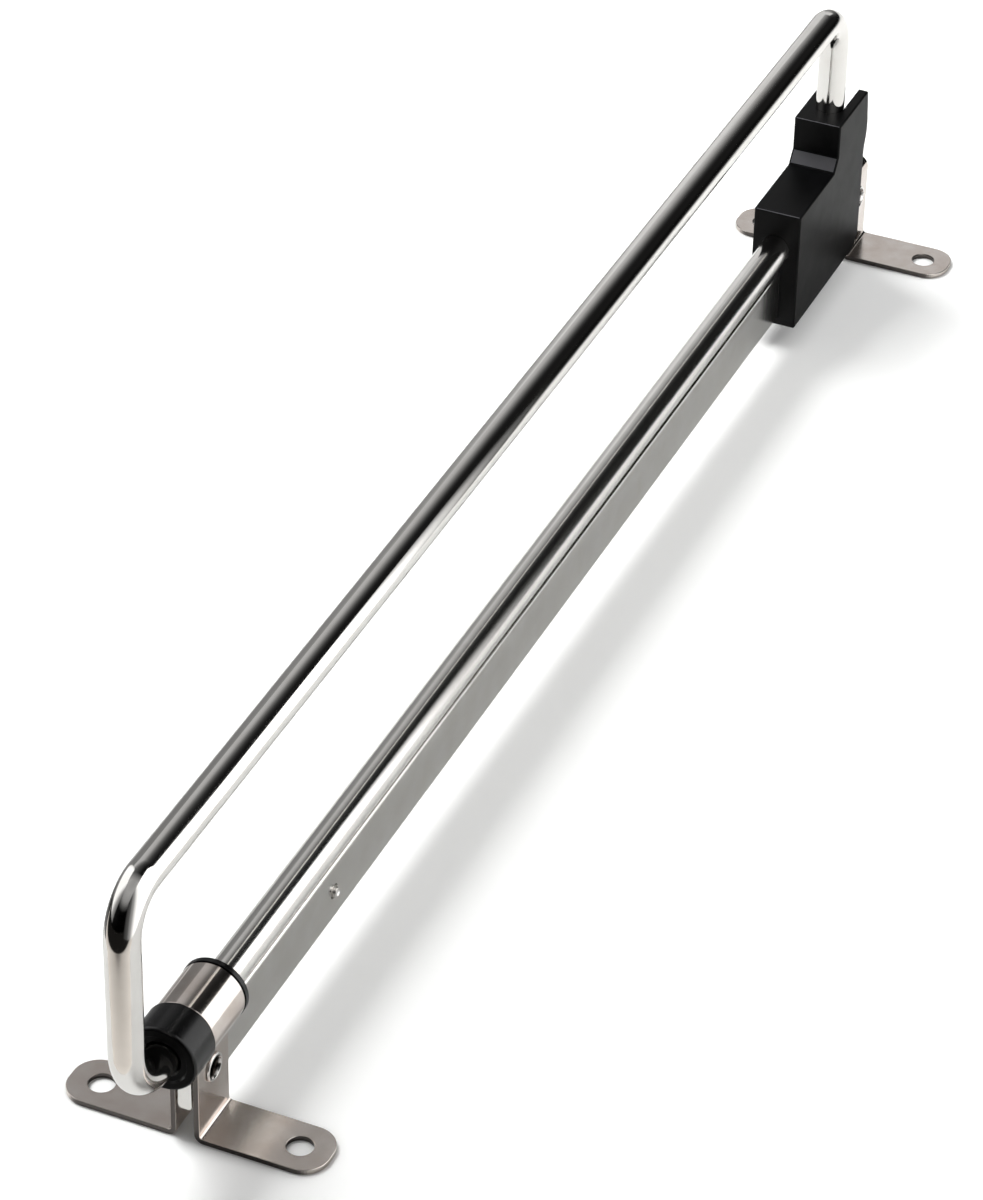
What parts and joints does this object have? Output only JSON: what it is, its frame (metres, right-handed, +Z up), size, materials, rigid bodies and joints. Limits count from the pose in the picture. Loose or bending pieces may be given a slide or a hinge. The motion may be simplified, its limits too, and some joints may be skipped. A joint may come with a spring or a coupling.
{
  "type": "pull-out clothes rail",
  "caption": "Pull-out clothes rail that screws under a shelf: a bent wire hanger loop slides through a front bush and, on a plastic carriage, along a flat bar.",
  "frame": {"origin": "middle of the closed rail's length and width, on the plane of its feet's undersides", "axes": "+Y from the front foot to the rear foot along the bar, +Z up from the feet, away from the shelf they are screwed to, +X to the right seen from the front"},
  "size_m": [0.0564, 0.4, 0.0789],
  "materials": {
    "nickel_strip": "satin nickel plate",
    "nickel_bar": "satin nickel plate",
    "plated_rivet": "bright nickel plate",
    "bush_plastic": "semi-gloss black",
    "polished_wire": "polished nickel plate",
    "carriage_plastic": "fine matt black"
  },
  "bodies": {
    "base": {"front_bracket": "nickel_strip", "rear_bracket": "nickel_strip", "guide_bar": "nickel_bar", "front_rivet": "plated_rivet", "rear_rivet": "plated_rivet", "stop_pin": "plated_rivet", "guide_bush": "bush_plastic"},
    "rail": {"hanger_rail": "polished_wire", "carriage": "carriage_plastic"}
  },
  "joints": [
    {"name": "rail_slide", "type": "slide", "parent": "base", "child": "rail", "axis": [0, -1, 0], "range_m": [0, 0.25]}
  ]
}
